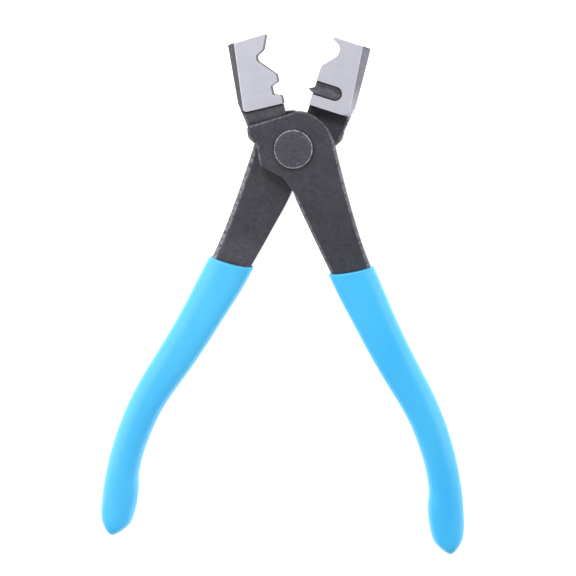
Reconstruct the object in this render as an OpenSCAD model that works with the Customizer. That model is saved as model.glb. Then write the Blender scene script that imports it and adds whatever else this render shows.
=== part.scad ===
// Hand pliers for re-usable collar clips on hoses: two lap-jointed forged levers on one rivet,
// with dipped soft-vinyl grips. The part lies flat on its back: +Y points to the jaws, +Z is
// the rivet's axis, and the origin is on that axis at the resting plane.
// Every lever shape is drawn with the jaws shut, so that the mating faces lie on X = 0. The
// lever is then turned about the rivet to the open rest pose. The rear lever is the same
// forging turned over about Y, with its own jaw profile.

/* [Pose] */
// Angle between the two mating faces at rest, in degrees
open_angle = 31; // [10:1:50]

/* [Joint] */
// Thickness of one cheek plate
cheek_t = 5.9; // [5:0.1:7]
// Radius of the round part of a cheek plate
cheek_r = 12.5; // [12.2:0.1:12.8]
// Distance from the rivet's axis to the straight top edge of a cheek plate
cheek_top_y = 11.5; // [11.3:0.1:11.7]
// Clearance between the two cheek plates where they lap
lap_gap = 0.1; // [0.05:0.05:0.3]

/* [Rivet] */
// Diameter of the rivet's shank
rivet_d = 8; // [6:0.5:10]
// Diameter of the rivet's flat head and of its upset tail
rivet_head_d = 12.6; // [11:0.1:14]
// Height of the head and of the tail above the cheek plates
rivet_head_t = 0.7; // [0.4:0.1:1.5]
// Width of the bevel round the head and round the tail
rivet_bevel = 0.35; // [0.1:0.05:0.4]
// Radial clearance between the rivet and the rear lever that turns on it
rivet_fit = 0.04; // [0.01:0.01:0.1]
// Axial clearance between the rivet's tail and the rear lever
tail_gap = 0.05; // [0.02:0.01:0.2]

/* [Jaws] */
// Thickness of both jaws
jaw_t = 8.4; // [7:0.1:9]
// Height of the jaws' end above the rivet's axis, jaws shut
jaw_top_y = 38.2; // [38:0.1:40]
// Height at which the full thickness of a jaw starts
jaw_foot_y = 15.2; // [14.4:0.1:16]
// Height of the recessed neck's face above the lap plane
neck_z = 3.3; // [2.5:0.1:4]
// Distance from the middle line to the front jaw's mating face when shut
front_bite = 0.1; // [0.05:0.05:0.2]
// Distance from the middle line to the rear jaw's mating face when shut
rear_bite = 0.3; // [0.05:0.05:0.4]
// Forging draft on the outer side of each jaw, in degrees
jaw_draft = 33; // [25:1:35]

/* [Pocket and tooth] */
// Width of the round-ended pocket in the rear jaw
pocket_w = 4.65; // [4:0.05:5]
// Distance from the mating face to the centre of the pocket's round end
pocket_l = 7.3; // [5:0.1:8]
// Depth of the pocket below the jaw's front face
pocket_depth = 2.4; // [1.5:0.1:3]
// Height of the pocket's middle line above the rivet's axis
pocket_y = 21.0; // [20.5:0.1:21.5]
// Length of the tooth that stands out of the mating face
tooth_l = 1.6; // [1:0.1:1.8]
// Height of the tooth at its root
tooth_w = 2.2; // [1.8:0.1:2.6]

/* [Handles] */
// Thickness of the tang inside a grip
tang_t = 7.4; // [6.6:0.1:7.6]
// Thickness of the vinyl sleeve round the tang, measured in plan
sleeve_t = 1.2; // [1:0.1:1.6]
// Thickness of a grip
grip_t = 10.8; // [10.6:0.1:12]
// Width of the rounded zone along each side of a grip
grip_round = 3; // [2:0.1:3.2]
// Distance from the rivet's axis to the mouth of the front lever's grip
front_mouth_y = -42.5; // [-46:0.1:-42]
// Distance from the rivet's axis to the mouth of the rear lever's grip
rear_mouth_y = -41.4; // [-46:0.1:-41]
// Slant of a grip's mouth, in degrees
mouth_slant = -3; // [-8:1:0]

/* [Hidden] */

$fn = 96;
// Room given to a cutting body beyond the surface that it cuts
over = 1;
// Size of a cutting body that only has to be larger than the part
large = 60;

// Resting plane to lap plane: the rivet's tail is what the joint rests on
lap_z = cheek_t + rivet_head_t;
half_angle = open_angle / 2;

// The round part of a cheek plate lies beyond this line, on the side of its shank
round_start_x = 4.2;
// Centre of the round part of a cheek plate
round_centre = [0.55, -0.4];

// Steps along one rounded corner and along one span of a smooth curve
corner_steps = 8;
span_steps = 3;

// Start and end of the stretch in which a shank comes from its cheek to the middle plane
joggle_start_y = -32;
joggle_end_y = -46;
// The same for the shank's outer face, which starts its fall beside the rivet
shoulder_y = -15;
// Where the side outline of the shank ends, beyond the tang
tang_end_y = -147;

// Foot and top of the outer edge of each jaw's ground face
FRONT_DRAFT = [[-12.8, 18.5], [-10.85, 38.2]];
REAR_DRAFT = [[-13.4, 18.5], [-11.2, 38.2]];

// Corners of the front jaw: x, y and corner radius, from the mating face round to the outside
FRONT_JAW = [
    [-front_bite, 8, 0],
    [-front_bite, 17.75, 0.5],
    [-2.7, 18.65, 0.3],
    [-2.7, 21.35, 0.4],
    [-front_bite, 22.35, 0.8],
    [-front_bite, 24.7, 1],
    [-5.15, 30.35, 1.6],
    [-5.1, 31.95, 0.8],
    [-2.45, 33.45, 1.2],
    [-0.4, jaw_top_y, 0.3],
    [-13.7, jaw_top_y - 0.5, 0.4],
    [-14.6, 18.5, 9],
    [-12.8, 8, 0],
];

// Corners of the rear jaw, drawn in the same way as seen from behind
REAR_JAW = [
    [-rear_bite, 8, 0],
    [-rear_bite, 28.2, 2],
    [-4.5, 33, 2.6],
    [-4.5, 35.7, 1.8],
    [-1.2, 37.75, 0.2],
    [-1.2, jaw_top_y, 0.15],
    [-14.2, jaw_top_y, 0.4],
    [-14.85, 18.5, 9],
    [-12.8, 8, 0],
];

// Corners of a cheek plate on the side away from its shank
CHEEK = [
    [4.2, cheek_top_y, 0],
    [-13.15, cheek_top_y - 0.9, 1.2],
    [-13.6, 6.8, 2.5],
    [-11.4, 4.0, 3],
    [-11.9, -2.8, 2.2],
    [-5.3, -8.5, 3],
    [-2.9, -14.5, 0],
    [13.2, -14.5, 0],
    [13.2, 0, 0],
];

// Points on the inner and outer edges of a shank, from its cheek down and back up to it
SHANK_INNER = [[-4.9, -9.4], [-3.4, -12.6], [-2.95, -16], [-2.3, -20], [-0.9, -27], [0.5, -34], [2.0, -41]];
SHANK_OUTER = [[15.1, -42], [14.4, -35], [13.9, -28], [13.5, -20], [13.25, -10], [13.1, 0]];

// Points on the outline of a grip: down the inner side, round the tip and up the outer side
GRIP_POINTS = [
    [2.7, -50],
    [5.3, -60],
    [7.9, -70],
    [10.8, -80],
    [14.1, -90],
    [16.4, -99],
    [17.6, -111],
    [17.15, -120],
    [15.5, -126],
    [14.65, -132],
    [15.1, -138.2],
    [19.6, -143.1],
    [24.6, -139],
    [26.95, -130],
    [28.15, -120],
    [28.4, -110],
    [27.7, -99.5],
    [26.15, -90],
    [23.7, -80],
    [21.25, -70],
    [19.2, -60],
    [17.5, -50],
];
// The same outline is carried on above the grip's mouth, where the mouth is cut square
ABOVE_MOUTH_INNER = [0.3, -38];
ABOVE_MOUTH_OUTER = [15.35, -38];

// Angles, in degrees from the middle plane, of the rings that make up a grip's rounded section
GRIP_RINGS = [-80, -52, -20, 20, 52, 80];

function unit(v) = v / norm(v);

function signed_turn(a) = a > 180 ? a - 360 : a < -180 ? a + 360 : a;

// One corner replaced by an arc that touches both of its sides
function corner_arc(before, corner, after) =
    let (at = [corner.x, corner.y])
    let (to_before = unit([before.x, before.y] - at))
    let (to_after = unit([after.x, after.y] - at))
    let (half = acos(to_before * to_after) / 2)
    let (centre = at + unit(to_before + to_after) * corner[2] / sin(half))
    let (first = at + to_before * corner[2] / tan(half) - centre)
    let (last = at + to_after * corner[2] / tan(half) - centre)
    let (start = atan2(first.y, first.x))
    let (turn = signed_turn(atan2(last.y, last.x) - start))
    [for (i = [0:corner_steps]) let (a = start + turn * i / corner_steps)
        centre + corner[2] * [cos(a), sin(a)]];

function rounded(corners) =
    let (n = len(corners))
    [for (i = [0:n - 1])
        for (p = corners[i][2] == 0 ? [[corners[i].x, corners[i].y]]
            : corner_arc(corners[(i + n - 1) % n], corners[i], corners[(i + 1) % n])) p];

// Catmull-Rom curve through a list of points, with its end points held
function smooth(points) =
    let (n = len(points) - 1)
    concat([for (i = [0:n - 1]) for (s = [0:span_steps - 1])
        let (a = points[max(i - 1, 0)])
        let (b = points[i])
        let (c = points[i + 1])
        let (d = points[min(i + 2, n)])
        let (t = s / span_steps)
        (2 * b + (c - a) * t + (2 * a - 5 * b + 4 * c - d) * t * t
            + (3 * b - a - 3 * c + d) * t * t * t) / 2], [points[n]]);

// Closed outline moved inwards by a distance; it runs anticlockwise
function inset(points, distance) =
    let (n = len(points))
    [for (i = [0:n - 1])
        let (along = unit(points[(i + 1) % n] - points[(i + n - 1) % n]))
        points[i] + distance * [-along.y, along.x]];

// Share of a smooth step done at y, from 0 at its start to 1 at its end
function eased(y, start, end) = (1 - cos(180 * min(max((y - start) / (end - start), 0), 1))) / 2;

// Heights of a shank's outer and inner faces above the lap plane
function shank_high(y) = cheek_t - (cheek_t - tang_t / 2) * eased(y, shoulder_y, joggle_end_y);
function shank_low(y) = lap_gap / 2 - (lap_gap / 2 + tang_t / 2) * eased(y, joggle_start_y, joggle_end_y);

module above(y) {
    translate([-large / 2, y])
        square([large, large]);
}

module left_of(x) {
    translate([x - large, -large / 2])
        square([large, large]);
}

// Cuts the forging draft on the outer side of a jaw, above the middle plane
module draft_cutter(draft) {
    edge = draft[1] - draft[0];
    translate([draft[0].x, draft[0].y, jaw_t / 2])
        rotate([0, 0, atan2(edge.y, edge.x) - 90])
            rotate([0, jaw_draft, 0])
                translate([-large, -large / 2, -large / 2])
                    cube([large, large, large]);
}

module jaw(profile, draft) {
    difference() {
        translate([0, 0, -jaw_t / 2])
            linear_extrude(jaw_t)
                intersection() {
                    polygon(rounded(profile));
                    above(jaw_foot_y);
                }
        draft_cutter(draft);
        mirror([0, 0, 1])
            draft_cutter(draft);
    }
    translate([0, 0, lap_gap / 2])
        linear_extrude(neck_z - lap_gap / 2)
            difference() {
                polygon(rounded(profile));
                above(jaw_foot_y + over);
            }
}

module cheek() {
    translate([0, 0, lap_gap / 2])
        linear_extrude(cheek_t - lap_gap / 2) {
            polygon(rounded(CHEEK));
            difference() {
                translate(round_centre)
                    circle(cheek_r);
                above(cheek_top_y);
                left_of(round_start_x);
            }
        }
}

// Shank and tang: the plan outline cut to the side outline of the joggle
module shank() {
    reach = [for (y = [0:-2:joggle_end_y]) y];
    side = concat(
        [for (y = reach) [y, shank_high(y)]],
        [[tang_end_y, tang_t / 2], [tang_end_y, -tang_t / 2]],
        [for (i = [len(reach) - 1:-1:0]) [reach[i], shank_low(reach[i])]]);
    intersection() {
        translate([0, 0, -large / 2])
            linear_extrude(large)
                handle_outline();
        rotate([90, 0, 90])
            translate([0, 0, -large / 2])
                linear_extrude(large * 2)
                    polygon(side);
    }
}

// Plan outline of shank and tang in one smooth line
module handle_outline() {
    polygon(smooth(concat(SHANK_INNER, inset(GRIP_POINTS, sleeve_t), SHANK_OUTER)));
}

// One forging with the jaws shut: jaw on the left, cheek in front of the lap plane, shank on the right
module forging(profile, draft, bore_r) {
    difference() {
        union() {
            jaw(profile, draft);
            cheek();
            shank();
        }
        translate([0, 0, -over])
            cylinder(r = bore_r, h = cheek_t + 2 * over);
    }
}

module tooth() {
    root_y = pocket_y - 0.9;
    translate([0, 0, -jaw_t / 2])
        linear_extrude(jaw_t - pocket_depth)
            polygon([
                [over, root_y + tooth_w / 2],
                [0, root_y + tooth_w / 2],
                [-tooth_l, root_y - 0.1],
                [0, root_y - tooth_w / 2],
                [over, root_y - tooth_w / 2],
            ]);
}

module pocket() {
    translate([0, pocket_y, jaw_t / 2 - pocket_depth])
        linear_extrude(pocket_depth + over) {
            translate([pocket_l, 0])
                circle(d = pocket_w);
            translate([-over, -pocket_w / 2])
                square([pocket_l + over, pocket_w]);
        }
}

// Outside of a sleeve: rings of the plan outline, drawn in towards both flat faces, which are
// each closed by a ladder of quads from the inner side to the outer side
module grip_skin() {
    line = smooth(concat([ABOVE_MOUTH_INNER], GRIP_POINTS, [ABOVE_MOUTH_OUTER]));
    n = len(line);
    last = len(GRIP_RINGS) - 1;
    points = [for (a = GRIP_RINGS)
        for (p = inset(line, grip_round * (1 - cos(a)))) [p.x, p.y, grip_t / 2 * sin(a) / sin(80)]];
    sides = [for (k = [0:last - 1]) for (i = [0:n - 1])
        [k * n + i, (k + 1) * n + i, (k + 1) * n + (i + 1) % n, k * n + (i + 1) % n]];
    back = [for (i = [0:n / 2 - 2]) [i, i + 1, n - 2 - i, n - 1 - i]];
    front = [for (face = back) [for (k = [3:-1:0]) last * n + face[k]]];
    polyhedron(points, concat(back, sides, front), convexity = 6);
}

module grip(mouth_y) {
    difference() {
        grip_skin();
        translate([0, 0, -tang_t / 2])
            linear_extrude(tang_t)
                handle_outline();
        translate([0, mouth_y, 0])
            rotate([0, 0, mouth_slant])
                translate([-large / 2, 0, -large / 2])
                    cube([large, large, large]);
    }
}

module turned(angle) {
    translate([0, 0, lap_z])
        rotate([0, 0, angle])
            children();
}

module turned_over() {
    rotate([0, 180, 0])
        children();
}

module front_lever() {
    color("#46464c")
        turned(half_angle)
            forging(FRONT_JAW, FRONT_DRAFT, rivet_d / 2);
}

module rear_lever() {
    color("#505057")
        turned(-half_angle) {
            difference() {
                turned_over()
                    forging(REAR_JAW, REAR_DRAFT, rivet_d / 2 + rivet_fit);
                pocket();
            }
            tooth();
        }
}

module pivot_rivet() {
    r = rivet_head_d / 2;
    color("#8b8b92")
        rotate_extrude()
            polygon([
                [0, 0],
                [r - rivet_bevel, 0],
                [r, rivet_bevel],
                [r, rivet_head_t - tail_gap],
                [rivet_d / 2, rivet_head_t - tail_gap],
                [rivet_d / 2, lap_z + cheek_t],
                [r, lap_z + cheek_t],
                [r, lap_z + cheek_t + rivet_head_t - rivet_bevel],
                [r - rivet_bevel, lap_z + cheek_t + rivet_head_t],
                [0, lap_z + cheek_t + rivet_head_t],
            ]);
}

module front_grip() {
    color("#35b4ee")
        turned(half_angle)
            grip(front_mouth_y);
}

module rear_grip() {
    color("#35b4ee")
        turned(-half_angle)
            turned_over()
                grip(rear_mouth_y);
}

front_lever();
rear_lever();
pivot_rivet();
front_grip();
rear_grip();
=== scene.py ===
"""Looks of the hose clip pliers: camera, studio, detailed levers, rivet and grips."""
import math

import bpy
import numpy as np
from mathutils import Matrix, Vector
from mathutils.geometry import delaunay_2d_cdt


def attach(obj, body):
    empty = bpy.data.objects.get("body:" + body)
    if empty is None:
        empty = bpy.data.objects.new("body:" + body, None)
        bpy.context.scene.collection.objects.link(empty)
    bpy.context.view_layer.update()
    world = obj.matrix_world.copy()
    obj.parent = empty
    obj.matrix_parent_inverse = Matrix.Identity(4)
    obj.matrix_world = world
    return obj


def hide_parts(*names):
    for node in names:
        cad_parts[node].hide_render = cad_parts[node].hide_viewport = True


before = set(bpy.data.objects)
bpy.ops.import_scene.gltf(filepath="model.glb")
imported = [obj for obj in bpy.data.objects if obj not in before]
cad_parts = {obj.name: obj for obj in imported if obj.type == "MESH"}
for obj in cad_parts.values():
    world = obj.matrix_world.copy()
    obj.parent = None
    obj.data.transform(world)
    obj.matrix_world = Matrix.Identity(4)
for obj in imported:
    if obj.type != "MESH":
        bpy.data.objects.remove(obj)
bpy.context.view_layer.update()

MM = 0.001
# each lever is modelled with the jaws shut, and turned out by this many degrees
HALF_ANGLE = 15.5
# height of the plane between the two cheeks, in millimetres
LAP_Z = 6.6

# ---------------------------------------------------------------- camera
# degrees to the object's right and towards its jaws, then about the view's own axis
TILT_X, TILT_Y, ROLL = 4.278, 7.5, 2.063
DISTANCE = 0.600
TARGET = Vector((0, -0.045, LAP_Z * MM))
SENSOR_WIDTH = 36
VIEW_WIDTH = 0.19008
SHIFT = (-0.0033, -0.0056)
CLIP = (0.01, 10)


def add_camera():
    """Camera a little to the right and towards the jaws, with the whole object in view."""
    back = Vector((math.sin(math.radians(TILT_X)), math.sin(math.radians(TILT_Y)), 0))
    back.z = math.sqrt(1 - back.x ** 2 - back.y ** 2)
    right = Vector((0, 1, 0)).cross(back).normalized()
    up = back.cross(right)
    c, s = math.cos(math.radians(ROLL)), math.sin(math.radians(ROLL))
    turned_right = right * c + up * s
    turned_up = up * c - right * s
    data = bpy.data.cameras.new("camera")
    camera = bpy.data.objects.new("camera", data)
    bpy.context.scene.collection.objects.link(camera)
    pose = Matrix((turned_right, turned_up, back)).transposed().to_4x4()
    pose.translation = TARGET + back * DISTANCE
    camera.matrix_world = pose
    data.sensor_width = SENSOR_WIDTH
    data.lens = SENSOR_WIDTH * DISTANCE / VIEW_WIDTH
    data.shift_x, data.shift_y = SHIFT
    data.clip_start, data.clip_end = CLIP
    bpy.context.scene.camera = camera


add_camera()

# ---------------------------------------------------------------- plane geometry, in millimetres
# a joined outline's points closer together than this are merged
SHORTEST_EDGE = 0.03


def unit(v):
    return v / np.linalg.norm(v)


def corner_arc(before, corner, after, steps):
    """Points of the arc that rounds a corner [x, y, radius] between its neighbours."""
    at = np.array(corner[:2], float)
    to_before, to_after = unit(np.array(before[:2]) - at), unit(np.array(after[:2]) - at)
    half = math.acos(max(-1, min(1, float(to_before @ to_after)))) / 2
    centre = at + unit(to_before + to_after) * corner[2] / math.sin(half)
    first = at + to_before * corner[2] / math.tan(half) - centre
    last = at + to_after * corner[2] / math.tan(half) - centre
    start = math.atan2(first[1], first[0])
    turn = math.atan2(last[1], last[0]) - start
    turn = (turn + math.pi) % (2 * math.pi) - math.pi
    angles = start + turn * np.linspace(0, 1, steps + 1)
    return [centre + corner[2] * np.array([math.cos(a), math.sin(a)]) for a in angles]


def rounded(corners, steps=8):
    """Closed outline from corners [x, y, radius], with an arc for every corner that has a radius."""
    n, out = len(corners), []
    for i, corner in enumerate(corners):
        if corner[2] == 0:
            out.append(np.array(corner[:2], float))
        else:
            out += corner_arc(corners[i - 1], corner, corners[(i + 1) % n], steps)
    return np.array(out)


def smooth(points, steps=8):
    """Catmull-Rom curve through a list of points, with its end points held."""
    p, out = np.array(points, float), []
    n = len(p) - 1
    for i in range(n):
        a, b, c, d = p[max(i - 1, 0)], p[i], p[i + 1], p[min(i + 2, n)]
        for t in np.arange(steps) / steps:
            out.append((2 * b + (c - a) * t + (2 * a - 5 * b + 4 * c - d) * t * t
                        + (3 * b - a - 3 * c + d) * t ** 3) / 2)
    return np.array(out + [p[n]])


def moved_in(loop, distance):
    """Closed anticlockwise outline moved inwards; the distance is a number or one per point."""
    before, after = loop - np.roll(loop, 1, 0), np.roll(loop, -1, 0) - loop
    before /= np.linalg.norm(before, axis=1)[:, None]
    after /= np.linalg.norm(after, axis=1)[:, None]
    n1 = np.column_stack([-before[:, 1], before[:, 0]])
    n2 = np.column_stack([-after[:, 1], after[:, 0]])
    middle = n1 + n2
    middle /= np.linalg.norm(middle, axis=1)[:, None]
    reach = distance / np.maximum((middle * n1).sum(1), 0.5)
    return loop + middle * np.reshape(reach, (-1, 1))


def holds(loop, points):
    """Which points lie inside a closed outline."""
    x, y = points[:, 0], points[:, 1]
    found = np.zeros(len(points), bool)
    for (x1, y1), (x2, y2) in zip(loop, np.roll(loop, -1, 0)):
        if y1 != y2:
            found ^= ((y1 > y) != (y2 > y)) & (x < (x2 - x1) * (y - y1) / (y2 - y1) + x1)
    return found


def joined(*loops):
    """Outline of the area that any of the closed outlines covers."""
    points, edges = [], []
    for loop in loops:
        base, n = len(points), len(loop)
        points += [Vector(p) for p in loop]
        edges += [(base + i, base + (i + 1) % n) for i in range(n)]
    spots, _, faces, *_ = delaunay_2d_cdt(points, edges, [], 0, 1e-5)
    xy = np.array([tuple(p) for p in spots])
    middles = np.array([xy[list(f)].mean(0) for f in faces])
    inside = np.zeros(len(faces), bool)
    for loop in loops:
        inside |= holds(loop, middles)
    pairs = set()
    for face, keep in zip(faces, inside):
        if keep:
            a, b, c = xy[face[0]], xy[face[1]], xy[face[2]]
            face = list(face)
            if (b[0] - a[0]) * (c[1] - a[1]) - (b[1] - a[1]) * (c[0] - a[0]) < 0:
                face.reverse()
            pairs |= {(face[k], face[(k + 1) % 3]) for k in range(3)}
    rim = {a: b for a, b in pairs if (b, a) not in pairs}
    best = []
    while rim:
        start = next(iter(rim))
        chain, at = [], start
        while at in rim:
            chain.append(at)
            at = rim.pop(at)
        if len(chain) > len(best):
            best = chain
    loop = xy[best]
    gap = np.linalg.norm(loop - np.roll(loop, 1, 0), axis=1)
    return loop[gap > SHORTEST_EDGE]


# ---------------------------------------------------------------- shells


class Shell:
    """Faces of one piece, with a material slot each and a share of wear at each point."""

    def __init__(self):
        self.points, self.wear, self.faces, self.slots = [], [], [], []

    def ring(self, xy, z, wear=0.0):
        """Adds a row of points and returns their numbers."""
        start = len(self.points)
        heights = np.broadcast_to(z, len(xy))
        self.points += [(float(p[0]), float(p[1]), float(h)) for p, h in zip(xy, heights)]
        self.wear += list(np.broadcast_to(wear, len(xy)).astype(float))
        return list(range(start, start + len(xy)))

    def face(self, corners, slot):
        self.faces.append(tuple(corners))
        self.slots.append(slot)

    def band(self, low, high, slot):
        """Faces between two closed rings; the slot is a number or one per face."""
        n = len(low)
        slots = slot if hasattr(slot, "__len__") else [slot] * n
        for i in range(n):
            j = (i + 1) % n
            self.face((low[i], low[j], high[j], high[i]), slots[i])

    def fan(self, ring, middle, slot):
        """Triangles from a closed ring to one point."""
        for i, corner in enumerate(ring):
            self.face((corner, ring[(i + 1) % len(ring)], middle), slot)

    def cap(self, ring, slot, up=True, extra=(), height=None):
        """Faces that close a ring, through extra points at the heights of a function."""
        xy = [self.points[i][:2] for i in ring]
        n = len(xy)
        edges = [(i, (i + 1) % n) for i in range(n)]
        spots, _, faces, origins, *_ = delaunay_2d_cdt(
            [Vector(p) for p in xy] + [Vector(p) for p in extra], edges, [], 1, 1e-6)
        own = {}
        for k, (spot, origin) in enumerate(zip(spots, origins)):
            if origin and origin[0] < n:
                own[k] = ring[origin[0]]
            else:
                z = height(np.array([spot]))[0] if height else self.points[ring[0]][2]
                own[k] = self.ring([spot], z)[0]
        for f in faces:
            a, b, c = (spots[i] for i in f[:3])
            f = [own[i] for i in f]
            turn = (b.x - a.x) * (c.y - a.y) - (b.y - a.y) * (c.x - a.x)
            if (turn > 0) != up:
                f.reverse()
            self.face(f, slot)

    def stack(self, rings, slots, bottom_slot, top_slot, **cap):
        """Rings given as (xy, z, wear) from the lowest to the highest, closed by two caps."""
        made = [self.ring(*r) for r in rings]
        self.cap(made[0], bottom_slot, up=False, **cap.get("bottom", {}))
        for low, high, slot in zip(made, made[1:], slots):
            self.band(low, high, slot)
        self.cap(made[-1], top_slot, **cap.get("top", {}))

    def mesh(self, name, place, scale=MM):
        """Mesh data of the shell, put in its place and scaled to metres."""
        data = bpy.data.meshes.new(name)
        co = place(np.array(self.points)) * scale
        data.from_pydata([tuple(p) for p in co], [], self.faces)
        data.polygons.foreach_set("material_index", self.slots)
        wear = data.attributes.new("wear", "FLOAT", "POINT")
        wear.data.foreach_set("value", np.array(self.wear, np.float32))
        data.update()
        return data


def turn_z(points, degrees):
    c, s = math.cos(math.radians(degrees)), math.sin(math.radians(degrees))
    x, y = points[:, 0], points[:, 1]
    return np.column_stack([x * c - y * s, x * s + y * c, points[:, 2]])


def place_front(points):
    """From the front lever's own frame to the object's."""
    return turn_z(points, HALF_ANGLE) + [0, 0, LAP_Z]


def place_rear(points):
    """From the rear lever's own frame to the object's: half a turn about Y, then opened."""
    return turn_z(points * [-1, 1, -1], -HALF_ANGLE) + [0, 0, LAP_Z]


def in_place(points):
    return points


def add_piece(data, materials, body, node, sharp=38):
    """Object of a finished mesh, shaded smooth up to a sharp angle, which stands in for a node."""
    piece = bpy.data.objects.new(data.name, data)
    bpy.context.scene.collection.objects.link(piece)
    for m in materials:
        data.materials.append(m)
    data.polygons.foreach_set("use_smooth", [True] * len(data.polygons))
    data.set_sharp_from_angle(angle=math.radians(sharp))
    weighted = piece.modifiers.new("weighted_normals", "WEIGHTED_NORMAL")
    weighted.keep_sharp = True
    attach(piece, body)
    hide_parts(node)


# ---------------------------------------------------------------- materials
# middle of the ring of painted shadow round the rivet's head, set a little towards -Y, in millimetres
RIVET_SHADE_CENTRE = (0.15, -0.35, 0)


class Nodes:
    """Short hand for one material's node tree."""

    def __init__(self, name):
        self.material = bpy.data.materials.new(name)
        self.material.use_nodes = True
        self.tree = self.material.node_tree
        self.tree.nodes.clear()
        self.out = self.tree.nodes.new("ShaderNodeOutputMaterial")
        self.shader = self.tree.nodes.new("ShaderNodeBsdfPrincipled")
        self.tree.links.new(self.shader.outputs[0], self.out.inputs[0])
        coords = self.tree.nodes.new("ShaderNodeTexCoord")
        self.base = self.mapped(coords.outputs["Object"], scale=(1000, 1000, 1000))

    def put(self, socket, value):
        if hasattr(value, "links"):
            self.tree.links.new(value, socket)
        else:
            socket.default_value = value

    def mapped(self, source, rotation=(0, 0, 0), scale=(1, 1, 1), location=(0, 0, 0)):
        node = self.tree.nodes.new("ShaderNodeMapping")
        self.put(node.inputs["Vector"], source)
        node.inputs["Rotation"].default_value = rotation
        node.inputs["Scale"].default_value = scale
        node.inputs["Location"].default_value = location
        return node.outputs[0]

    def noise(self, scale, detail=4, rough=0.6, vector=None, distortion=0.0):
        node = self.tree.nodes.new("ShaderNodeTexNoise")
        self.put(node.inputs["Vector"], self.base if vector is None else vector)
        node.inputs["Scale"].default_value = scale
        node.inputs["Detail"].default_value = detail
        node.inputs["Roughness"].default_value = rough
        node.inputs["Distortion"].default_value = distortion
        return node.outputs[0]

    def ranged(self, value, low, high, to_low=0.0, to_high=1.0):
        node = self.tree.nodes.new("ShaderNodeMapRange")
        node.interpolation_type = "SMOOTHSTEP"
        self.put(node.inputs["Value"], value)
        node.inputs["From Min"].default_value = low
        node.inputs["From Max"].default_value = high
        node.inputs["To Min"].default_value = to_low
        node.inputs["To Max"].default_value = to_high
        return node.outputs[0]

    def math(self, operation, a, b):
        node = self.tree.nodes.new("ShaderNodeMath")
        node.operation = operation
        self.put(node.inputs[0], a)
        self.put(node.inputs[1], b)
        return node.outputs[0]

    def mix(self, factor, a, b):
        node = self.tree.nodes.new("ShaderNodeMix")
        node.data_type = "RGBA"
        self.put(node.inputs["Factor"], factor)
        self.put(node.inputs["A"], a if hasattr(a, "links") else (*a, 1))
        self.put(node.inputs["B"], b if hasattr(b, "links") else (*b, 1))
        return node.outputs["Result"]

    def attribute(self, name):
        node = self.tree.nodes.new("ShaderNodeAttribute")
        node.attribute_name = name
        return node.outputs["Fac"]

    def length(self, vector):
        node = self.tree.nodes.new("ShaderNodeVectorMath")
        node.operation = "LENGTH"
        self.put(node.inputs[0], vector)
        return node.outputs["Value"]

    def distance(self, point, scale=(1, 1, 1)):
        """Distance from a point, with each axis counted by its share."""
        shift = [-p * s for p, s in zip(point, scale)]
        return self.length(self.mapped(self.base, location=shift, scale=scale))

    def at_least(self, vector, lowest):
        """A vector with each component raised to the lowest value it may have."""
        node = self.tree.nodes.new("ShaderNodeVectorMath")
        node.operation = "MAXIMUM"
        self.put(node.inputs[0], vector)
        node.inputs[1].default_value = lowest
        return node.outputs[0]

    def height_along(self, angle):
        """How far up a lever's own axis a point lies, for a lever turned by this angle."""
        turned = self.mapped(self.base, rotation=(0, 0, math.radians(-angle)))
        node = self.tree.nodes.new("ShaderNodeSeparateXYZ")
        self.put(node.inputs[0], turned)
        return node.outputs[1]

    def bump(self, height, strength, distance):
        node = self.tree.nodes.new("ShaderNodeBump")
        node.inputs["Strength"].default_value = strength
        node.inputs["Distance"].default_value = distance * MM
        self.put(node.inputs["Height"], height)
        self.put(self.shader.inputs["Normal"], node.outputs[0])

    def set(self, **values):
        for key, value in values.items():
            self.put(self.shader.inputs[key.replace("_", " ")], value)


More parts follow.
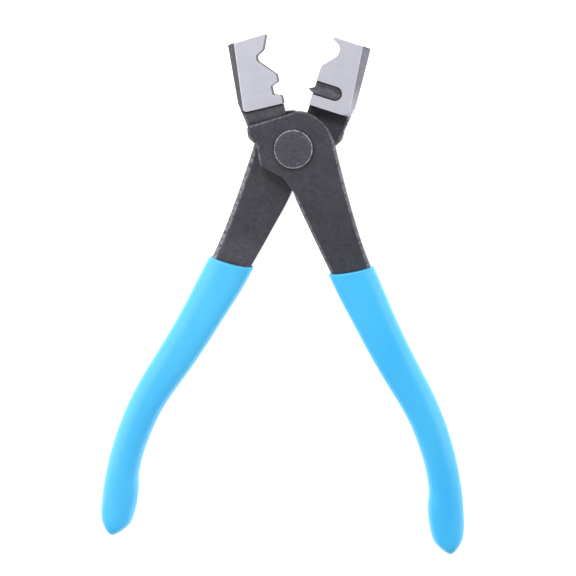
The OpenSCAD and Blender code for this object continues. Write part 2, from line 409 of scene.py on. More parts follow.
def oxide(name, dark, light, edge, wear_gain=1.0, worn=0.0, scratched=0.0, angle=0, shade_bands=(), rivet_shade=0.0,
          painted_glint=None):
    """Forged and phosphated steel: mottled dark grey, fine grain, light specks and worn edges.

    Bands of painted shade darken the steel; each is given by the two heights along the lever between which
    it sets in, and its share. A ring of painted shadow round the rivet's head has a share of its own. A
    painted highlight is given like a band of shade, and lightens the steel. worn adds rubbing all over,
    and scratched adds lines across the lever."""
    n = Nodes(name)
    cloud = n.ranged(n.noise(0.22, 5, 0.62), 0.32, 0.7)
    grain = n.ranged(n.noise(1.0, 6, 0.78), 0.34, 0.7)
    tone = n.mix(cloud, dark, light)
    tone = n.mix(n.math("MULTIPLY", grain, 0.85), tone, [1.5 * v for v in light])
    specks = n.ranged(n.noise(1.3, 3, 0.55, n.mapped(n.base, location=(7, 3, 1))), 0.69, 0.78)
    rub = n.ranged(n.noise(0.9, 6, 0.72, n.mapped(n.base, location=(2, 9, 4))), 0.36, 0.6)
    wear = n.math("MULTIPLY", n.attribute("wear"), rub)
    wear = n.math("MULTIPLY", wear, wear_gain)
    wear = n.math("ADD", wear, n.math("MULTIPLY", specks, 0.3))
    if scratched:
        along = n.mapped(n.base, rotation=(0, 0, math.radians(8)), scale=(0.28, 3.4, 0.3),
                         location=(3, 1, 2))
        lines = n.ranged(n.noise(1.0, 2, 0.5, along), 0.62, 0.70)
        where = n.ranged(n.noise(0.33, 2, 0.5, n.mapped(n.base, location=(5, 8, 3))), 0.46, 0.6)
        wear = n.math("ADD", wear, n.math("MULTIPLY", n.math("MULTIPLY", lines, where), scratched))
    if worn:
        wear = n.math("ADD", wear, n.ranged(n.noise(0.5, 6, 0.7), 0.2, 0.8, worn * 0.6, worn * 1.3))
    wear = n.math("MINIMUM", wear, 1.0)
    colour = n.mix(wear, tone, edge)
    # painted highlight: a lighter tone towards one end of a band along the lever
    if painted_glint:
        start, end, share = painted_glint
        glint_share = n.ranged(n.height_along(angle), start, end, 0, share)
        colour = n.mix(glint_share, colour, [1.4 * v for v in edge])
    # painted shade: a darker tone laid in bands along the lever and in a ring round the rivet, kept off
    # worn spots
    shade_tone = [0.25 * v for v in dark]
    unworn = n.math("SUBTRACT", 1.0, wear)
    for start, end, share in shade_bands:
        shade_share = n.ranged(n.height_along(angle), start, end, 0, share)
        colour = n.mix(n.math("MULTIPLY", shade_share, unworn), colour, shade_tone)
    # painted shadow in a ring round the rivet's head, wider on its -Y side
    if rivet_shade:
        away = n.distance(RIVET_SHADE_CENTRE, (1, 1, 0))
        colour = n.mix(n.ranged(away, 6.3, 7.6, rivet_shade, 0), colour, shade_tone)
    n.set(Base_Color=colour, Metallic=n.math("MULTIPLY", wear, 0.5),
          Roughness=n.ranged(grain, 0, 1, 0.62, 0.46))
    n.set(IOR=1.5)
    n.shader.inputs["Specular IOR Level"].default_value = 0.42
    n.bump(n.math("ADD", n.math("MULTIPLY", grain, 0.6), cloud), 0.35, 0.05)
    return n.material


def ground(name, angle, dark, light, along=(0.06, 2.2, 2.2)):
    """Surface-ground steel: fine lines along the wheel's travel, and a faint blush across it."""
    n = Nodes(name)
    turned = n.mapped(n.base, rotation=(0, 0, math.radians(angle)))
    lines = n.noise(1.0, 8, 0.75, n.mapped(turned, scale=along))
    fine = n.noise(3.0, 4, 0.7, n.mapped(turned, scale=along, location=(3, 11, 5)))
    blush = n.noise(0.16, 3, 0.5, n.mapped(n.base, location=(4, 1, 8)))
    value = n.math("ADD", n.math("MULTIPLY", lines, 0.6), n.math("MULTIPLY", fine, 0.4))
    value = n.math("ADD", value, n.math("MULTIPLY", n.math("SUBTRACT", blush, 0.5), 0.45))
    tone = n.mix(n.ranged(value, 0.3, 0.7), dark, light)
    n.set(Base_Color=tone, Roughness=n.ranged(value, 0.3, 0.7, 0.5, 0.42))
    n.shader.inputs["Metallic"].default_value = 0.35
    n.bump(value, 0.08, 0.02)
    return n.material


def milled(name):
    """Milled pocket: streaks left by the cutter along its travel, and painted shade towards the wall."""
    n = Nodes(name)
    turned = n.mapped(n.base, rotation=(0, 0, math.radians(HALF_ANGLE)))
    streaks = n.noise(1.0, 5, 0.65, n.mapped(turned, scale=(0.22, 1.5, 1.0)), 0.6)
    grain = n.noise(1.6, 4, 0.7)
    marks = n.math("ADD", n.math("MULTIPLY", streaks, 0.75), n.math("MULTIPLY", grain, 0.25))
    tone = n.mix(n.ranged(marks, 0.36, 0.62), (0.065, 0.065, 0.08), (0.19, 0.19, 0.22))
    # distance from the pocket's middle line, which ends at the centre of its round end
    from_end = n.mapped(turned, location=(-POCKET_L, -POCKET_Y, 0), scale=(1, 1, 0))
    away = n.length(n.at_least(from_end, (0, -POCKET_W, 0)))
    # painted shade that darkens the pocket towards its wall
    wall_shade = n.ranged(away, POCKET_W / 2 - 0.7, POCKET_W / 2 - 0.25, 0, 0.8)
    n.set(Base_Color=n.mix(wall_shade, tone, (0.012, 0.012, 0.015)),
          Roughness=n.ranged(marks, 0.3, 0.6, 0.52, 0.4))
    n.shader.inputs["Metallic"].default_value = 0.3
    n.bump(marks, 0.3, 0.05)
    return n.material


def vinyl(name, red=0.0, green=0.0, stain=None):
    """Dipped soft vinyl: sky blue, satin gloss, slow flow marks and a faint orange peel.

    red and green shift its colours, and the stain is the place of a dark mark."""
    n = Nodes(name)
    flow = n.noise(0.06, 3, 0.5, n.mapped(n.base, scale=(1, 0.35, 1)))
    fine = n.noise(0.9, 4, 0.6)
    shades = (0.041, 0.540), (0.061, 0.585), (0.10, 0.64)
    deep, clear, pale = ((r + red, g + green, 1.0) for r, g in shades)
    tone = n.mix(n.ranged(flow, 0.3, 0.7), deep, clear)
    tone = n.mix(n.ranged(fine, 0.35, 0.75, 0.0, 0.16), tone, pale)
    if stain is not None:
        mark = n.ranged(n.distance(stain, (1.0, 0.28, 1.0)), 0.15, 0.9, 0.75, 0.0)
        tone = n.mix(mark, tone, (0.02, 0.20, 0.45))
    n.set(Base_Color=tone, Roughness=n.ranged(fine, 0.3, 0.7, 0.36, 0.42))
    n.shader.inputs["Specular IOR Level"].default_value = 0.5
    n.shader.inputs["Coat Weight"].default_value = 0.15
    n.shader.inputs["Coat Roughness"].default_value = 0.25
    n.bump(n.math("ADD", n.math("MULTIPLY", fine, 0.4), n.noise(0.25, 3, 0.5)), 0.12, 0.12)
    return n.material


def pale_floor(name):
    """White backdrop, which glows so that it stays white all round the object."""
    n = Nodes(name)
    tone = n.mix(n.noise(0.02, 3, 0.5), (0.93, 0.93, 0.93), (0.96, 0.96, 0.96))
    n.set(Base_Color=tone, Emission_Color=tone)
    n.shader.inputs["Roughness"].default_value = 0.9
    n.shader.inputs["Specular IOR Level"].default_value = 0.0
    n.shader.inputs["Emission Strength"].default_value = 0.85
    return n.material


# ---------------------------------------------------------------- levers

# A lever's own frame, in millimetres: the rivet at the origin, the jaw up +Y, the closing line at
# x = 0 with the jaw on its left, and the handle's outer side on the right. The plane between the two
# cheeks is z = 0, and the lever's own cheek lies above it. A corner is [x, y, radius].
# cheek plate: thickness, radius of its round side, height of its top edge; its round side's centre,
# and where that side meets the top edge
CHEEK_T, CHEEK_R, CHEEK_TOP = 5.9, 12.5, 11.54
ROUND_CENTRE, ROUND_START_X = (0.55, -0.4), 4.2
JAW_T, JAW_TOP, JAW_FOOT, NECK_Z = 8.4, 38.2, 15.2, 3.3
# thicknesses of the tang, of the vinyl beside it and of the whole grip, and the gap between the cheeks
TANG_T, SLEEVE_T, GRIP_T = 7.4, 1.2, 10.8
LAP_GAP = 0.1
# pocket: width, how far its round end's centre lies from the closing line, depth, height of its middle
POCKET_W, POCKET_L, POCKET_DEPTH, POCKET_Y = 4.65, 7.3, 2.4, 21.0
# the cutter's rounded edge, and how far it runs out past the closing line
POCKET_FILLET, POCKET_MOUTH_X = 0.45, 1.2
# how far each jaw's straight edge stands back from the closing line
FRONT_BITE, REAR_BITE = 0.1, 0.3
TOOTH = [[-1.2, 19.0], [-0.3, 19.0], [1.25, 19.72], [1.6, 20.0], [1.2, 20.3], [-0.3, 21.15], [-1.2, 21.2]]
# the neck and the tooth stand back by this, so that no two faces lie in one plane
NECK_STEP, TOOTH_STEP = 0.02, 0.03

# each jaw's inner side, from its foot to its top
FRONT_JAW = [
    [-FRONT_BITE, 17.75, 0.5], [-2.7, 18.65, 0.3], [-2.7, 21.35, 0.4], [-FRONT_BITE, 22.35, 0.8],
    [-FRONT_BITE, 24.7, 1.0], [-5.15, 30.35, 1.6], [-5.1, 31.95, 0.8], [-2.45, 33.45, 1.2],
    [-0.4, JAW_TOP, 0.3],
]
REAR_JAW = [
    [-REAR_BITE, 28.2, 2.0], [-4.5, 33.0, 2.6], [-4.5, 35.7, 1.8], [-1.2, 37.75, 0.2],
    [-1.2, JAW_TOP, 0.15],
]
# the jaws' outer sides, beyond OUTER_X
OUTER_X = -9.5
FRONT_SIDE = [[-13.7, JAW_TOP - 0.5, 0.4], [-14.6, 18.5, 0], [-14.1, JAW_FOOT, 1.2]]
REAR_SIDE = [[-14.2, JAW_TOP, 0.4], [-14.85, 18.5, 0], [-14.15, JAW_FOOT, 2.6]]
# the ground face's outer edge, from which the side slopes out by this many degrees
FRONT_DRAFT = [[-12.8, 18.5], [-10.85, JAW_TOP]]
REAR_DRAFT = [[-13.4, 18.5], [-11.2, JAW_TOP]]
DRAFT = 33
# radius of the corner at the jaw's foot in the middle of its thickness
SHARP_FOOT = 0.8

# the cheek's outline; the levers differ only where the cheek bulges under the neck
CHEEK_SHOULDER_Y = CHEEK_TOP - 0.94
CHEEK_START = [ROUND_START_X, CHEEK_TOP, 0]
CHEEK_FOOT = [[-11.9, -2.8, 2.2], [-5.3, -8.5, 3], [-2.9, -14.5, 0], [13.2, -14.5, 0], [13.2, 0, 0]]
FRONT_BULGE = [[-13.15, CHEEK_SHOULDER_Y, 1.2], [-13.6, 6.8, 2.5], [-11.4, 4.0, 3]]
REAR_BULGE = [[-13.65, CHEEK_SHOULDER_Y, 1.2], [-13.8, 7.0, 2.5], [-11.4, 3.0, 3]]
FRONT_CHEEK = [CHEEK_START] + FRONT_BULGE + CHEEK_FOOT
REAR_CHEEK = [CHEEK_START] + REAR_BULGE + CHEEK_FOOT
# the neck runs from inside the cheek to inside the jaw, and its outer side is its own on each lever
NECK_FOOT, NECK_TOP = 8, JAW_FOOT + 0.6
FRONT_NECK = [[-14.0, NECK_TOP, 0], [-12.8, NECK_FOOT, 0]]
REAR_NECK = [[-14.25, NECK_TOP, 0], [-14.2, 14.0, 3], [-13.35, NECK_FOOT, 0]]
# points of the smooth curves along the shank and the grip, down the inner side and up the outer
SHANK_INNER = [[-4.9, -9.4], [-3.4, -12.6], [-2.95, -16], [-2.3, -20], [-0.9, -27], [0.5, -34], [2.0, -41]]
SHANK_OUTER = [[15.1, -42], [14.4, -35], [13.9, -28], [13.5, -20], [13.25, -10], [13.1, 0]]
GRIP_INNER = [[2.7, -50], [5.3, -60], [7.9, -70], [10.8, -80], [14.1, -90], [16.4, -99], [17.6, -111],
              [17.15, -120], [15.5, -126], [14.65, -132], [15.1, -138.2]]
GRIP_TIP = [19.6, -143.1]
GRIP_OUTER = [[24.6, -139], [26.95, -130], [28.15, -120], [28.4, -110], [27.7, -99.5], [26.15, -90],
              [23.7, -80], [21.25, -70], [19.2, -60], [17.5, -50]]
ABOVE_MOUTH_INNER, ABOVE_MOUTH_OUTER = [0.3, -38], [15.35, -38]
# the grips' mouths: height at x = 0, and slant in degrees
FRONT_MOUTH_Y, REAR_MOUTH_Y, MOUTH_SLANT = -42.5, -41.4, -3
# the shank joggles to the middle plane: its front face from SHOULDER_Y, and its lap face from
# JOGGLE_START, both down to JOGGLE_END
SHOULDER_Y, JOGGLE_START, JOGGLE_END = -15, -32, -46

# ---- the levers' materials
DARK, LIGHT, EDGE = (0.0265, 0.0265, 0.035), (0.0425, 0.0425, 0.054), (0.30, 0.30, 0.33)
# darker copies of the oxide: painted shade for the front jaw's outer side
SHADED, SHADED_PALE = [0.75 * v for v in DARK], [0.75 * v for v in LIGHT]
# lighter tones for the rear jaw's outer side: painted light from the side, with rubbing on top
RUBBED_LIT_DARK, RUBBED_LIT_LIGHT, RUBBED_LIT_EDGE = (0.092, 0.092, 0.116), (0.13, 0.13, 0.162), (0.34, 0.34, 0.40)
GROUND_DARK, GROUND_LIGHT = (0.55, 0.55, 0.618), (0.64, 0.64, 0.722)
RIVET_DARK, RIVET_LIGHT, RIVET_EDGE = (0.036, 0.036, 0.046), (0.056, 0.056, 0.070), (0.40, 0.40, 0.43)
MOUTH_ANGLE = HALF_ANGLE + MOUTH_SLANT


def body_steel(name, angle, mouth_y):
    """Oxide of a lever, with a band of painted shade where it goes into its grip, and painted shadow round
    the rivet.
    """
    return oxide(name, DARK, LIGHT, EDGE, scratched=0.14, rivet_shade=0.45, angle=angle,
                 shade_bands=[(mouth_y + 0.2, mouth_y - 0.35, 0.75)])


STEEL_FRONT = body_steel("steel_oxide_front", MOUTH_ANGLE, FRONT_MOUTH_Y)
STEEL_REAR = body_steel("steel_oxide_rear", -MOUTH_ANGLE, REAR_MOUTH_Y)
# front jaw's outer side: the oxide darkened as painted shade
STEEL_SIDE_SHADED = oxide("steel_oxide_side_painted_shade", SHADED, SHADED_PALE, EDGE)
# front neck: a lighter tone as painted light, and bands of painted shade under the jaw's face and above
# the cheek
NECK_FRONT = oxide("steel_neck_front_painted_shade", DARK, [1.2 * v for v in LIGHT], EDGE, angle=HALF_ANGLE,
                   shade_bands=[(14.2, 15.0, 0.8), (12.1, 11.2, 0.6)])
# rear neck: a band of painted shade, darker towards its jaw
NECK_REAR = oxide("steel_neck_rear_painted_shade", DARK, LIGHT, EDGE, angle=-HALF_ANGLE, shade_bands=[(10.9, 12.3, 0.5)])
# rear jaw's outer side: lighter oxide as painted light, rubbed all over, with a painted highlight towards
# the jaw's foot
STEEL_RUBBED_AND_LIT = oxide("steel_oxide_rubbed_and_painted_light", RUBBED_LIT_DARK, RUBBED_LIT_LIGHT, RUBBED_LIT_EDGE, worn=0.3,
                   angle=-HALF_ANGLE, painted_glint=(27, 17, 0.9))
GROUND_FRONT = ground("steel_ground_front", -HALF_ANGLE, GROUND_DARK, GROUND_LIGHT)
GROUND_REAR = ground("steel_ground_rear", HALF_ANGLE, GROUND_DARK, GROUND_LIGHT)
BRIGHT = ground("steel_bright_edge", 0, (0.66, 0.66, 0.73), (0.82, 0.82, 0.90), (0.4, 0.4, 0.4))
MILLED = milled("steel_milled_painted_shade")
RIVET = oxide("steel_rivet", RIVET_DARK, RIVET_LIGHT, RIVET_EDGE, wear_gain=1.5, scratched=0.45)

# a lever's material slots, in the order of the lists that build_front_lever and build_rear_lever give
# the slot for a jaw's outer side holds painted shade on the front lever and painted light on the rear
S_OXIDE, S_GROUND, S_EDGE, S_MILLED, S_PAINTED_SIDE, S_NECK = range(6)


def eased(y, start, end):
    """0 at the start and 1 at the end, with a soft step between them."""
    return (1 - np.cos(np.pi * np.clip((y - start) / (end - start), 0, 1))) / 2


def shank_high(y):
    """Height of the plate's front face."""
    return CHEEK_T - (CHEEK_T - TANG_T / 2) * eased(y, SHOULDER_Y, JOGGLE_END)


def shank_low(y):
    """Height of the plate's face at the lap."""
    return LAP_GAP / 2 - (LAP_GAP / 2 + TANG_T / 2) * eased(y, JOGGLE_START, JOGGLE_END)


def plan_of_plate(cheek):
    """Cheek plate, shank and tang in one outline."""
    last = math.acos((ROUND_START_X - ROUND_CENTRE[0]) / CHEEK_R)
    arc = np.linspace(math.radians(-104), last, 90)
    disc = np.array(ROUND_CENTRE) + CHEEK_R * np.column_stack([np.cos(arc), np.sin(arc)])
    grip = moved_in(np.array(GRIP_INNER + [GRIP_TIP] + GRIP_OUTER), SLEEVE_T)
    inner, outer = grip[:len(GRIP_INNER) - 2], grip[len(GRIP_INNER) + 2:]
    handle = np.vstack([smooth(np.vstack([SHANK_INNER, inner])), smooth(np.vstack([outer, SHANK_OUTER]))])
    return joined(rounded(cheek, 10), disc, handle)


def plate_rims(x, y, side, buried):
    """How far the front rim and the lap rim are broken, which is more on the shank's outer side."""
    outer = (x > 5) & (y < 9)
    top = np.where(outer, 0.32 + 0.35 * eased(y, 9, -6), 0.32 + 0.5 * eased(y, -10, -20)) + 0.35 * side
    low = np.where(outer, 0.12 + 1.15 * eased(y, 7, -4), 0.12 + 0.35 * eased(y, -10, -18))
    return top, low + 0.4 * side * (1 - buried)


def plate_wear(x, y, side, buried):
    """Wear of the front rim and the lap rim: hands rub the outer side, the crotch keeps its oxide."""
    rubbed = eased(x, 9, 12.5) * eased(y, 7, 1)
    kept = eased(x, 3, 1) * eased(y, -1.5, -3.5) * (1 - eased(y, -12, -17))
    share = 0.42 * (1 - 0.85 * kept) + 0.34 * rubbed + 0.3 * side * eased(x, -11.6, -12.8)
    share *= 0.35 + 0.65 * eased(y, -60, -40)
    crotch = eased(x, 6, 3.5) * eased(y, -12, -18)
    low = share * (1 + 0.9 * eased(y, 4, -4)) * (1 - 0.85 * crotch)
    return share * (1 + crotch), (low + 0.5 * side) * (1 - buried)


def rim_rings(loop, radius, flat, inwards, wear, factors):
    """Rings of a rounded rim, from the flat face to the wall, with a factor of wear for each.

    inwards is 1 where the plate lies above the flat face, and -1 where it lies below."""
    rings = []
    for k, factor in enumerate(factors):
        a = math.radians(90 * (1 - k / (len(factors) - 1)))
        xy = moved_in(loop, radius * (1 - math.cos(a)))
        rings.append((xy, flat + inwards * radius * (1 - math.sin(a)), factor * wear))
    return rings


def add_plate(shell, cheek):
    """Cheek plate, shank and tang, with its rims broken and worn."""
    loop = plan_of_plate(cheek)
    x, y = loop[:, 0], loop[:, 1]
    # the cheek's straight side, and its top edge, which the neck buries
    side = eased(x, -9.5, -12) * eased(y, -6, 0)
    buried = (x < -0.5) * eased(y, 9.9, 10.7)
    top_r, low_r = plate_rims(x, y, side, buried)
    top_wear, low_wear = plate_wear(x, y, side, buried)
    low_face = moved_in(loop, low_r + 0.45 + 0.9 * side * eased(y, 9.6, 8.4))
    top_face = moved_in(loop, top_r + 0.3)
    rings = [(low_face, shank_low(low_face[:, 1]), 0)]
    rings += rim_rings(loop, low_r, shank_low(y), 1, low_wear, (0.5, 0.8, 0.6, 0.5, 0.4))
    rings += rim_rings(loop, top_r, shank_high(y), -1, top_wear, (0.7, 1.0, 0.8, 0.35, 0.1))[::-1]
    rings.append((top_face, shank_high(top_face[:, 1]), 0))
    # extra points let both faces follow the joggle
    grid = np.array([(gx, gy) for gy in np.arange(-56, -13, 1.4) for gx in np.arange(-6, 22, 1.6)])
    grid = grid[holds(moved_in(loop, top_r + 1.3), grid)]
    shell.stack(rings, [S_OXIDE] * (len(rings) - 1), S_OXIDE, S_OXIDE,
                bottom={"extra": grid, "height": lambda p: shank_low(p[:, 1])},
                top={"extra": grid, "height": lambda p: shank_high(p[:, 1])})


def side_corners(side, draft, z):
    """Corners of a jaw's outer side at one height, where the forging draft has its part.

    The draft sharpens the corner at the foot towards the middle of the jaw's thickness."""
    foot, top = draft
    slope = (top[0] - foot[0]) / (top[1] - foot[1])
    out = []
    for x, y, radius in side:
        edge = foot[0] + slope * (y - foot[1])
        edge -= math.tan(math.radians(DRAFT)) * (JAW_T / 2 - abs(z))
        if y == JAW_FOOT:
            radius = SHARP_FOOT + (radius - SHARP_FOOT) * min(max((abs(z) - 1.5) / 2.6, 0), 1)
        out.append([max(x, edge), y, radius])
    return out


def jaw_loop(profile, bite, side, draft, z):
    """A jaw's outline at one height."""
    return rounded([[-bite, JAW_FOOT, 0.12]] + profile + side_corners(side, draft, z), 8)


def add_block(shell, profile, bite, side, draft, outer_slot):
    """Full-thickness part of a jaw, ground on both flat faces."""
    half, rim, outer_rim = JAW_T / 2, 0.10, 0.22
    edge = jaw_loop(profile, bite, side, draft, half - rim)
    face = moved_in(edge, np.where(edge[:, 0] < OUTER_X, outer_rim, rim))
    rings = [(face, -half, 0)]
    for z in (-half + rim, -1.5, -0.25, 0.25, 1.5, half - rim):
        rings.append((jaw_loop(profile, bite, side, draft, z), z, 0))
    rings.append((face, half, 0))
    middles = (edge + np.roll(edge, -1, 0)) / 2
    walls = [outer_slot if x < OUTER_X and y < JAW_TOP - 0.7 else S_OXIDE for x, y in middles]
    shell.stack(rings, [S_EDGE] + [walls] * 5 + [S_EDGE], S_GROUND, S_GROUND)


def add_neck(shell, bite, outer_side):
    """Recessed neck between the jaw and the cheek, on the lap side, with a worn outer edge."""
    corners = [[-bite, NECK_FOOT, 0], [-bite, NECK_TOP, 0]] + outer_side
    loop = moved_in(rounded(corners, 8), NECK_STEP)
    low, high = LAP_GAP / 2 + NECK_STEP, NECK_Z
    x, y = loop[:, 0], loop[:, 1]
    outside = eased(x, -10, -12.5)
    rubbed = outside * eased(y, 12.5, 15)
    broken = 0.12 + 1.1 * outside * eased(y, 9.5, 13)
    rim = 0.3 + 0.5 * outside
    rings = [
        (moved_in(loop, broken), low, 0),
        (moved_in(loop, 0.3 * broken), low + 0.3 * broken, 0.35 + 1.6 * rubbed),
        (loop, low + broken, 0.4 + 1.6 * rubbed),
        (loop, high - rim, 0.2 + 0.4 * outside),
        (moved_in(loop, rim), high, 0.1),
    ]
    shell.stack(rings, [S_NECK] * 4, S_NECK, S_NECK)


def pocket_cutter():
    """The milling cutter's swept shape, in the rear lever's own frame, where the pocket faces down."""
    shell = Shell()
    r, fillet = POCKET_W / 2, POCKET_FILLET
    arc = np.radians(np.linspace(90, 270, 25))
    end = np.column_stack([-POCKET_L + r * np.cos(arc), POCKET_Y + r * np.sin(arc)])
    loop = np.vstack([[[POCKET_MOUTH_X, POCKET_Y + r]], end, [[POCKET_MOUTH_X, POCKET_Y - r]]])
    floor, face = -(JAW_T / 2 - POCKET_DEPTH), -JAW_T / 2
    # the rim is broken where the pocket meets the face
    flared = moved_in(loop, -0.1)
    rings = [(flared, face - 1, 0), (flared, face, 0), (loop, face + 0.1, 0), (loop, floor - fillet, 0)]
    for k in range(1, 6):
        a = math.radians(90 * k / 5)
        xy = moved_in(loop, fillet * (1 - math.cos(a)))
        rings.append((xy, floor - fillet * (1 - math.sin(a)), 0))
    shell.stack(rings, [S_EDGE, S_EDGE] + [S_MILLED] * 6, S_MILLED, S_MILLED)
    return shell


def add_tooth(shell):
    """Pointed tooth beside the pocket, from the pocket's floor to the jaw's other face."""
    loop = np.array(TOOTH)
    low, high = -(JAW_T / 2 - POCKET_DEPTH) + TOOTH_STEP, JAW_T / 2 - TOOTH_STEP
    ends = moved_in(loop, 0.1)
    rings = [(ends, low, 0), (loop, low + 0.15, 0), (loop, high - 0.1, 0), (ends, high, 0)]
    shell.stack(rings, [S_EDGE, S_OXIDE, S_OXIDE], S_MILLED, S_OXIDE)


def subtract(shell, cutter, name):
    """A shell with a cutter taken away, still in its own frame."""
    body = bpy.data.objects.new(name, shell.mesh(name, in_place, 1))
    tool = bpy.data.objects.new(name + "_cutter", cutter.mesh(name + "_cutter", in_place, 1))
    for o in (body, tool):
        bpy.context.scene.collection.objects.link(o)
        for slot in range(S_NECK + 1):
            o.data.materials.append(None)
    cut = body.modifiers.new("cut", "BOOLEAN")
    cut.operation, cut.solver, cut.object = "DIFFERENCE", "EXACT", tool
    bpy.context.view_layer.update()
    graph = bpy.context.evaluated_depsgraph_get()
    result = bpy.data.meshes.new_from_object(body.evaluated_get(graph))
    points = np.array([v.co for v in result.vertices])
    out = Shell()
    out.points = [tuple(p) for p in points]
    out.wear = [0.0] * len(points)
    for polygon in result.polygons:
        out.face(polygon.vertices, polygon.material_index)
    for o in (body, tool):
        mesh = o.data
        bpy.data.objects.remove(o)
        bpy.data.meshes.remove(mesh)
    bpy.data.meshes.remove(result)
    return out


def build_front_lever():
    shell = Shell()
    add_block(shell, FRONT_JAW, FRONT_BITE, FRONT_SIDE, FRONT_DRAFT, S_PAINTED_SIDE)
    add_neck(shell, FRONT_BITE, FRONT_NECK)
    add_plate(shell, FRONT_CHEEK)
    data = shell.mesh("front_lever_steel", place_front)
    materials = [STEEL_FRONT, GROUND_FRONT, BRIGHT, MILLED, STEEL_SIDE_SHADED, NECK_FRONT]
    add_piece(data, materials, "front", "front_lever")


def build_rear_lever():
    block = Shell()
    add_block(block, REAR_JAW, REAR_BITE, REAR_SIDE, REAR_DRAFT, S_PAINTED_SIDE)
    shell = subtract(block, pocket_cutter(), "rear_jaw")
    add_tooth(shell)
    add_neck(shell, REAR_BITE, REAR_NECK)
    add_plate(shell, REAR_CHEEK)
    data = shell.mesh("rear_lever_steel", place_rear)
    materials = [STEEL_REAR, GROUND_REAR, BRIGHT, MILLED, STEEL_RUBBED_AND_LIT, NECK_REAR]
    add_piece(data, materials, "rear", "rear_lever")


# ---------------------------------------------------------------- rivet
HEAD_R, HEAD_PROUD, RIVET_SHANK_R, TAIL_T = 6.3, 0.7, 4.0, 0.65


def rivet_profile():
    """Radius, height and wear, from the middle of the tail round to the middle of the head."""
    seat = LAP_Z + CHEEK_T
    top = seat + HEAD_PROUD
    tail = [
        (0.0, 0.0, 0), (3.0, 0.0, 0), (5.5, 0.0, 0), (5.9, 0.02, 0.5), (6.1, 0.1, 1), (6.27, 0.3, 1),
        (HEAD_R, 0.45, 0.3), (HEAD_R, TAIL_T, 0.1),
    ]
    shank = [(RIVET_SHANK_R, TAIL_T, 0), (RIVET_SHANK_R, seat, 0)]
    head = [
        (HEAD_R, seat, 0), (HEAD_R, top - 0.38, 0.1), (6.27, top - 0.24, 0.9), (6.18, top - 0.1, 1),
        (6.05, top - 0.03, 1), (5.92, top - 0.03, 0.5), (5.8, top - 0.08, 0), (5.6, top - 0.06, 0),
        (5.3, top - 0.01, 0.05), (5.0, top, 0), (3.0, top, 0), (0.0, top, 0),
    ]
    return tail + shank + head


def build_rivet():
    shell, around = Shell(), 128
    angles = np.linspace(0, 2 * math.pi, around, endpoint=False)
    circle = np.column_stack([np.cos(angles), np.sin(angles)])
    rings = []
    for r, z, wear in rivet_profile():
        rings.append(shell.ring(circle * r if r else np.zeros((1, 2)), z, wear))
    for low, high in zip(rings, rings[1:]):
        if len(low) == 1:
            shell.fan(high[::-1], low[0], 0)
        elif len(high) == 1:
            shell.fan(low, high[0], 0)
        else:
            shell.band(low, high, 0)
    data = shell.mesh("pivot_rivet_steel", in_place)
    add_piece(data, [RIVET], "front", "pivot_rivet")


# ---------------------------------------------------------------- grips
AROUND_GRIP = 72
# how far the mouth bows out, how far its lip is rolled in, and over what length the tip closes
MOUTH_BOW, LIP_ROLL, TIP_REACH = 0.45, (0.62, 0.3, 0.08), 7.5
# inner wall of the mouth: depth, and gaps to the grip's outside at the sides and at the flat faces
MOUTH_WALL = ((0, 0.95, 1.35), (0.6, 1.15, 1.66), (4.0, 1.2, 1.66))
# a dark mark on the rear grip
STAIN = (-60.6, -119.5, LAP_Z + 4.5)


def cut_at_mouth(curve, mouth_y):
    """The part of a curve beyond the mouth's line, with its first point on that line."""
    line = mouth_y + math.tan(math.radians(MOUTH_SLANT)) * curve[:, 0]
    beyond = curve[:, 1] - line
    i = int(np.argmax(beyond < 0))
    t = beyond[i - 1] / (beyond[i - 1] - beyond[i])
    first = curve[i - 1] + (curve[i] - curve[i - 1]) * t
    return np.vstack([[first], curve[i:]])


def at_lengths(curve, shares):
    """Points at shares of a curve's length, and that length."""
    gaps = np.linalg.norm(np.diff(curve, axis=0), axis=1)
    along = np.concatenate([[0], np.cumsum(gaps)])
    want = np.array(shares) * along[-1]
    return np.column_stack([np.interp(want, along, curve[:, k]) for k in range(2)]), along[-1]


def grip_section(a, b, power, inset, bow):
    """Superellipse between two points of the grip's sides: its points, and heights from -1 to 1.

    The higher the power, the squarer it is; the inset is left out at each side, and the flat
    faces bow out along the grip, towards its mouth."""
    theta = np.linspace(0, 2 * math.pi, AROUND_GRIP, endpoint=False)
    u = np.sign(np.cos(theta)) * np.abs(np.cos(theta)) ** (2 / power)
    v = np.sign(np.sin(theta)) * np.abs(np.sin(theta)) ** (2 / power)
    span = b - a
    width = np.linalg.norm(span)
    along = np.array([span[1], -span[0]]) / width
    bowed = bow * (1 - u * u) * (np.abs(v) > 0.2)
    xy = (a + b) / 2 + np.outer(u * (width / 2 - inset) / width, span) + np.outer(bowed, along)
    return xy, v


def grip_stations():
    """Shares of the grip's length: close together at the rolled mouth and at the rounded tip."""
    mouth = [0, 0.0012, 0.003, 0.006, 0.010, 0.016, 0.024]
    tip = 1 - 0.10 * np.cos(np.linspace(0, math.pi / 2, 34)[1:])
    return mouth + list(np.linspace(0.034, 0.90, 110)) + list(tip)


def grip_rings(shell, a, b, stations, length):
    """Outside of the grip, ring by ring from its mouth to just before its tip."""
    rings = []
    for k, s in enumerate(stations[:-1]):
        left = (1 - s) * length
        close = math.sqrt(max(0.0, 1 - (1 - min(1.0, left / TIP_REACH)) ** 2.2))
        thick = (GRIP_T / 2 + 0.12 * math.exp(-s * length / 1.6)) * close
        # the lip rolls over towards the steel at the mouth
        roll = LIP_ROLL[k] if k < len(LIP_ROLL) else 0.0
        bow = MOUTH_BOW * math.exp(-s * length / 2.5)
        xy, v = grip_section(a[k], b[k], 3.1 - 0.75 * eased(s, 0.1, 0.75), roll, bow)
        rings.append(shell.ring(xy, v * (thick - roll)))
    return rings


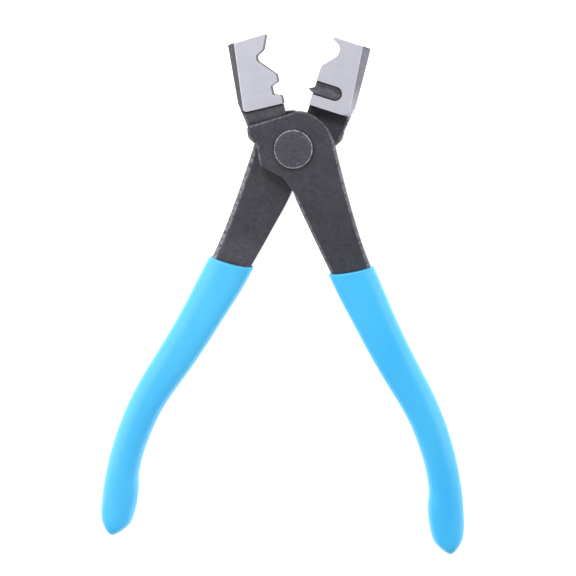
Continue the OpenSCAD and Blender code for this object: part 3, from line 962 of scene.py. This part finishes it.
def mouth_rings(shell, inner, outer, length):
    """Inner wall of the mouth, just proud of the tang, from the lip inwards."""
    rings = []
    for depth, side_gap, flat_gap in MOUTH_WALL:
        a, _ = at_lengths(inner, [depth / length])
        b, _ = at_lengths(outer, [depth / length])
        xy, v = grip_section(a[0], b[0], 5.0, side_gap, MOUTH_BOW)
        rings.append(shell.ring(xy, v * (GRIP_T / 2 - flat_gap)))
    return rings


def build_grip(name, place, mouth_y, body, node, material):
    line = smooth([ABOVE_MOUTH_INNER] + GRIP_INNER + [GRIP_TIP] + GRIP_OUTER + [ABOVE_MOUTH_OUTER], 16)
    tip = int(np.argmin(line[:, 1]))
    inner = cut_at_mouth(line[:tip + 1], mouth_y)
    outer = cut_at_mouth(line[tip:][::-1], mouth_y)
    stations = grip_stations()
    a, length = at_lengths(inner, stations)
    b, _ = at_lengths(outer, stations)
    shell = Shell()
    rings = grip_rings(shell, a, b, stations, length)
    inside = mouth_rings(shell, inner, outer, length)
    chain = inside[::-1] + rings
    for low, high in zip(chain, chain[1:]):
        shell.band(high, low, 0)
    shell.face(inside[-1], 0)
    end = shell.ring([(a[-1] + b[-1]) / 2], 0.0)[0]
    shell.fan(rings[-1][::-1], end, 0)
    add_piece(shell.mesh(name, place), [material], body, node, sharp=60)


# ---------------------------------------------------------------- studio
# in metres; the floor lies just under the object, and reaches this far each way
FLOOR_REACH, FLOOR_Z = 1.5, -0.0002
# the point that every light faces
AIM = (0, -0.045, 0.006)
WORLD_STRENGTH = 0.355
# rectangular lights: name, position, width and height, power in watts
LIGHTS = [
    ("key_head_side", (-0.22, 0.58, 0.62), (0.3, 0.3), 4.0),
    ("strip_left", (-0.42, -0.05, 0.30), (0.26, 0.7), 1.3),
    ("strip_right", (0.90, 0.08, 0.43), (0.4, 1.2), 4.0),
]


def add_floor():
    data = bpy.data.meshes.new("floor")
    r = FLOOR_REACH
    data.from_pydata([(-r, -r, 0), (r, -r, 0), (r, r, 0), (-r, r, 0)], [], [(0, 1, 2, 3)])
    floor = bpy.data.objects.new("floor", data)
    bpy.context.scene.collection.objects.link(floor)
    floor.location.z = FLOOR_Z
    data.materials.append(pale_floor("floor_pale"))


def add_light(name, position, size, power):
    data = bpy.data.lights.new(name, "AREA")
    data.shape, data.size, data.size_y = "RECTANGLE", *size
    data.energy = power
    light = bpy.data.objects.new(name, data)
    bpy.context.scene.collection.objects.link(light)
    light.location = position
    light.rotation_euler = (Vector(AIM) - Vector(position)).to_track_quat("-Z", "Y").to_euler()


def add_studio():
    add_floor()
    for light in LIGHTS:
        add_light(*light)
    world = bpy.data.worlds.new("studio")
    world.use_nodes = True
    background = world.node_tree.nodes["Background"]
    background.inputs["Color"].default_value = (1, 1, 1, 1)
    background.inputs["Strength"].default_value = WORLD_STRENGTH
    bpy.context.scene.world = world
    bpy.context.scene.view_settings.view_transform = "Standard"


build_front_lever()
build_rear_lever()
build_rivet()
build_grip("front_grip_vinyl", place_front, FRONT_MOUTH_Y, "front", "front_grip",
           vinyl("vinyl_front", green=-0.03))
build_grip("rear_grip_vinyl", place_rear, REAR_MOUTH_Y, "rear", "rear_grip",
           vinyl("vinyl_rear", red=0.022, stain=STAIN))
add_studio()
